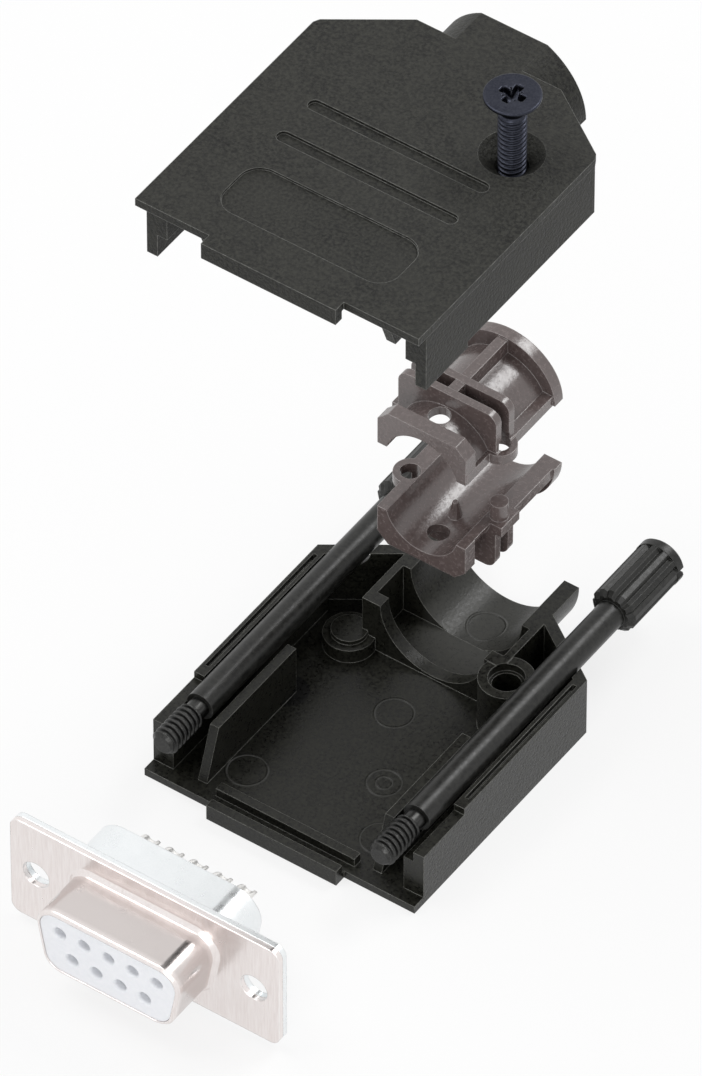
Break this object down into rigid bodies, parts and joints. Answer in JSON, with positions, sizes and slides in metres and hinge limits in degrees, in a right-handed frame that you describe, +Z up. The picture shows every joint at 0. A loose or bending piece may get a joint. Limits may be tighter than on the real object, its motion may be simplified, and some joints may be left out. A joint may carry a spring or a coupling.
{
  "type": "d-sub connector kit",
  "caption": "D-sub socket kit laid out apart: flanged connector, two-part plastic hood, cable clamp halves, cover screw and long jackscrews.",
  "frame": {"origin": "middle of the front edge of the hood base, on its under face", "axes": "+X across the flange, +Y from the mating face to the cable exit, +Z up through the joint plane of the hood"},
  "size_m": [0.0316, 0.0738, 0.0846],
  "materials": {
    "hood_plastic": "fine grained black moulding",
    "clamp_plastic": "smooth grey-brown moulding",
    "jackscrew_plastic": "satin black moulding",
    "stud_steel": "dark plated thread",
    "screw_steel": "blue-black plating",
    "tin_plate": "bright tin plating",
    "insulator_white": "plain white moulding",
    "contact_metal": "plated contact"
  },
  "bodies": {
    "base": {"base_shell": "hood_plastic"},
    "cover": {"cover_shell": "hood_plastic"},
    "cover_screw": {"cover_screw": "screw_steel"},
    "clamp_lower": {"clamp_lower": "clamp_plastic"},
    "clamp_upper": {"clamp_upper": "clamp_plastic"},
    "jackscrew_left": {"jackscrew_left_sleeve": "jackscrew_plastic", "jackscrew_left_stud": "stud_steel"},
    "jackscrew_right": {"jackscrew_right_sleeve": "jackscrew_plastic", "jackscrew_right_stud": "stud_steel"},
    "connector": {"connector_front_shell": "tin_plate", "connector_rear_shell": "tin_plate", "insulator_front": "insulator_white", "insulator_rear": "insulator_white", "contact_1": "contact_metal", "contact_2": "contact_metal", "contact_3": "contact_metal", "contact_4": "contact_metal", "contact_5": "contact_metal", "contact_6": "contact_metal", "contact_7": "contact_metal", "contact_8": "contact_metal", "contact_9": "contact_metal"}
  },
  "joints": [
    {"name": "hood_close", "type": "slide", "parent": "base", "child": "cover", "axis": [0, 0, -1], "range_m": [0, 0.0625]},
    {"name": "clamp_lower_seat", "type": "slide", "parent": "base", "child": "clamp_lower", "axis": [0, 0, -1], "range_m": [0, 0.016]},
    {"name": "clamp_upper_seat", "type": "slide", "parent": "base", "child": "clamp_upper", "axis": [0, 0, -1], "range_m": [0, 0.0245]},
    {"name": "cover_screw_drive", "type": "slide", "parent": "cover", "child": "cover_screw", "axis": [0, 0, -1], "range_m": [0, 0.0077]},
    {"name": "connector_insert", "type": "slide", "parent": "base", "child": "connector", "axis": [0, 1, 0], "range_m": [0, 0.0191]},
    {"name": "jackscrew_left_turn", "type": "hinge", "parent": "base", "child": "jackscrew_left", "pos_m": [-0.01249, 0.02, 0.0072], "axis": [0, 1, 0], "continuous": true},
    {"name": "jackscrew_right_turn", "type": "hinge", "parent": "base", "child": "jackscrew_right", "pos_m": [0.01249, 0.02, 0.0072], "axis": [0, 1, 0], "continuous": true}
  ],
  "couplings": [
    {"joint": "clamp_lower_seat", "follows": "hood_close", "ratio": 0.256},
    {"joint": "clamp_upper_seat", "follows": "hood_close", "ratio": 0.392},
    {"joint": "cover_screw_drive", "follows": "hood_close", "ratio": 0.1232}
  ]
}
